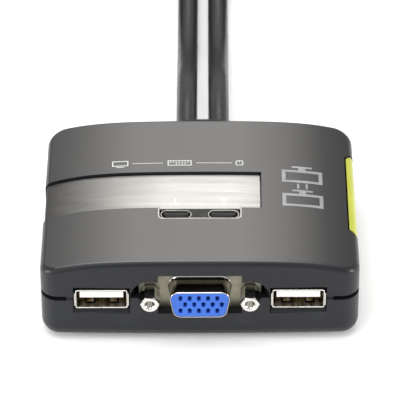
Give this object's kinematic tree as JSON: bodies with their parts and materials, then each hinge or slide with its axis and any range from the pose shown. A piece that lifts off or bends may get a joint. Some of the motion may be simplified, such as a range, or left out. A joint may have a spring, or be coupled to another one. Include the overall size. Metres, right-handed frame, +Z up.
{
  "type": "kvm switch",
  "caption": "Small desktop keyboard, video and mouse switch: crowned grey lid, pill-shaped push keys, monitor and USB ports at the front, captive computer cables at the rear.",
  "frame": {"origin": "on the table under the middle of the switch's own box (case and monitor port, without its cables)", "axes": "+X to the right seen from the port side, +Y towards the cables, +Z up"},
  "size_m": [0.1037, 0.2719, 0.0261],
  "materials": {
    "lid": "brushed dark grey film over a moulded plastic lid",
    "base": "fine-grained charcoal plastic",
    "band": "satin silver strip",
    "accent": "lime green, semi-gloss",
    "bezel": "satin grey",
    "key": "glossy near-black",
    "nickel": "nickel plate",
    "blue": "connector blue",
    "white": "natural white",
    "board": "green solder mask on fibreglass",
    "chip": "black epoxy",
    "steel": "zinc-plated steel",
    "rubber": "matte black rubber",
    "cable": "black PVC, satin",
    "led": "clear green lamp"
  },
  "bodies": {
    "case": {"top_shell": "lid", "bottom_shell": "base", "band_inlay": "band", "side_accent": "accent", "button_bezel": "bezel", "cable_1": "cable", "cable_2": "cable", "cable_clamp": "base", "cable_end_1": "cable", "cable_end_2": "cable", "cable_grommet": "rubber", "cable_hank_1": "cable", "cable_hank_2": "cable", "cable_header_1": "white", "cable_header_2": "white", "capacitor": "steel", "case_screw_1": "steel", "case_screw_2": "steel", "case_screw_3": "steel", "case_screw_4": "steel", "controller_chip": "chip", "crystal": "steel", "foot_1": "rubber", "foot_2": "rubber", "foot_3": "rubber", "foot_4": "rubber", "inner_cable_1": "cable", "inner_cable_2": "cable", "jackscrew_left": "nickel", "jackscrew_right": "nickel", "main_board": "board", "select_led_1": "led", "select_led_2": "led", "switch_chip": "chip", "tact_switch_1": "chip", "tact_switch_2": "chip", "usb_grip_1": "cable", "usb_grip_2": "cable", "usb_plug_shell_1": "nickel", "usb_plug_shell_2": "nickel", "usb_shell_left": "nickel", "usb_shell_right": "nickel", "usb_tail_1": "cable", "usb_tail_2": "cable", "usb_tongue_left": "white", "usb_tongue_right": "white", "vga_hood_1": "cable", "vga_hood_2": "cable", "vga_insert": "blue", "vga_plug_shell_1": "nickel", "vga_plug_shell_2": "nickel", "vga_shell": "nickel"},
    "key_1": {"button_1": "key", "tact_plunger_1": "white"},
    "key_2": {"button_2": "key", "tact_plunger_2": "white"},
    "screw_1_left": {"thumbscrew_1_left": "steel"},
    "screw_1_right": {"thumbscrew_1_right": "steel"},
    "screw_2_left": {"thumbscrew_2_left": "steel"},
    "screw_2_right": {"thumbscrew_2_right": "steel"}
  },
  "joints": [
    {"name": "key_1_press", "type": "slide", "parent": "case", "child": "key_1", "axis": [0, 0, -1], "range_m": [0, 0.0005], "stiffness_N_per_m": 1500},
    {"name": "key_2_press", "type": "slide", "parent": "case", "child": "key_2", "axis": [0, 0, -1], "range_m": [0, 0.0005], "stiffness_N_per_m": 1500},
    {"name": "screw_1_left_turn", "type": "hinge", "parent": "case", "child": "screw_1_left", "pos_m": [-0.02895, 0.2313, 0.0188], "axis": [0, 1, 0], "continuous": true},
    {"name": "screw_1_right_turn", "type": "hinge", "parent": "case", "child": "screw_1_right", "pos_m": [-0.00395, 0.2313, 0.0188], "axis": [0, 1, 0], "continuous": true},
    {"name": "screw_2_left_turn", "type": "hinge", "parent": "case", "child": "screw_2_left", "pos_m": [0.00535, 0.2313, 0.0188], "axis": [0, 1, 0], "continuous": true},
    {"name": "screw_2_right_turn", "type": "hinge", "parent": "case", "child": "screw_2_right", "pos_m": [0.03035, 0.2313, 0.0188], "axis": [0, 1, 0], "continuous": true}
  ]
}
